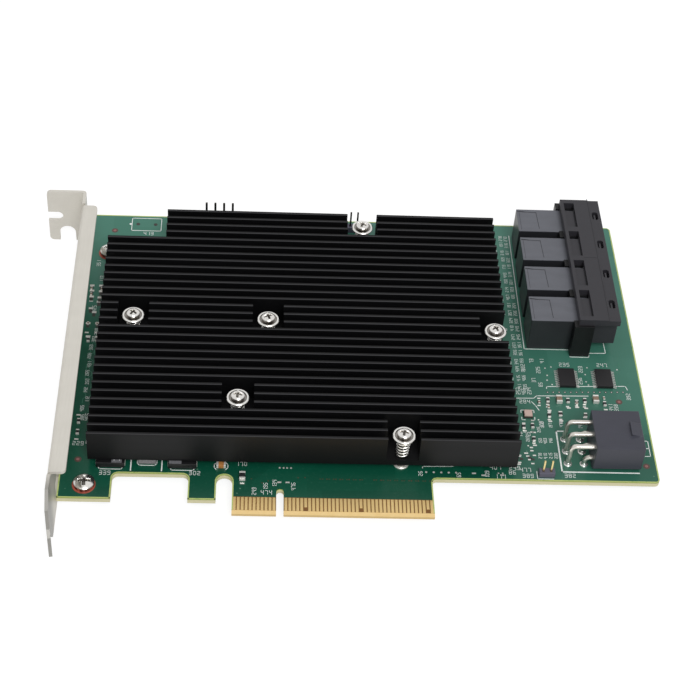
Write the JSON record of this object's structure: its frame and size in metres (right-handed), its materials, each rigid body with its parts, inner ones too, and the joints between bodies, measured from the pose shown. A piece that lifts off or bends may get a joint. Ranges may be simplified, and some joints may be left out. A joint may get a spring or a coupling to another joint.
{
  "type": "host bus adapter",
  "caption": "Full-height expansion card with an edge connector, a finned cooler held by spring screws, internal cable ports, a power input and a slot bracket.",
  "frame": {"origin": "centre of the key notch on the lower edge of the edge connector, in the middle of the board's thickness", "axes": "+X along the card away from the mounting bracket, +Y from the edge contacts to the top edge, +Z out of the component side"},
  "size_m": [0.1661, 0.1272, 0.0184],
  "materials": {
    "board": "green solder mask over glass laminate",
    "gold_plate": "gold plated copper",
    "bracket_steel": "plated sheet steel",
    "bracket_screw": "bright nickel plate",
    "cooler_black": "black anodised extrusion",
    "standoff_metal": "tin plated brass",
    "spring_screw": "bright nickel plate",
    "spring_collar": "bright nickel plate",
    "spring_steel": "bright wire",
    "substrate": "green laminate package",
    "lid_metal": "plain metal lid",
    "thermal_pad": "soft grey pad",
    "receptacle": "black moulded plastic",
    "contact_metal": "gold plated spring contact",
    "hood_plastic": "black moulded plastic",
    "power_plastic": "black moulded plastic",
    "tin_pin": "tin plated pin",
    "solder": "bright solder",
    "header_plastic": "black moulded plastic",
    "gold_post": "gold flashed post",
    "dark_post": "tin plated post",
    "chip_black": "moulded epoxy",
    "lead_tin": "tin plated lead",
    "terminal_tin": "tin plated end",
    "bulk_black": "moulded epoxy",
    "inductor_grey": "ferrite",
    "oscillator_base": "ceramic",
    "oscillator_lid": "plated lid",
    "resistor_black": "glazed resistor film",
    "capacitor_tan": "ceramic"
  },
  "bodies": {
    "root": {"circuit_board": "board", "edge_contacts_front": "gold_plate", "edge_contacts_back": "gold_plate", "bracket": "bracket_steel", "bracket_screws": "bracket_screw", "heatsink": "cooler_black", "standoffs": "standoff_metal", "heatsink_screws": "spring_screw", "spring_collars": "spring_collar", "heatsink_springs": "spring_steel", "left_controller_package": "substrate", "left_controller_lid": "lid_metal", "right_controller_package": "substrate", "right_controller_lid": "lid_metal", "switch_chip_package": "substrate", "switch_chip_lid": "lid_metal", "thermal_pads": "thermal_pad", "receptacle_1": "receptacle", "receptacle_2": "receptacle", "receptacle_3": "receptacle", "receptacle_4": "receptacle", "receptacle_contacts": "contact_metal", "port_frame": "hood_plastic", "power_header_housing": "power_plastic", "power_header_pins": "tin_pin", "solder_joints": "solder", "two_pin_header_block": "header_plastic", "two_pin_header_posts": "gold_post", "four_pin_header_block": "header_plastic", "four_pin_header_posts": "dark_post", "rear_header_block": "header_plastic", "rear_header_posts": "dark_post", "logic_packages": "chip_black", "logic_leads": "lead_tin", "bulk_capacitors": "bulk_black", "bulk_terminals": "terminal_tin", "inductor": "inductor_grey", "oscillator": "oscillator_base", "oscillator_cover": "oscillator_lid", "resistors": "resistor_black", "resistor_terminals": "terminal_tin", "capacitors": "capacitor_tan", "capacitor_terminals": "terminal_tin", "solder_side_capacitors": "capacitor_tan", "solder_side_terminals": "terminal_tin"}
  },
  "joints": []
}
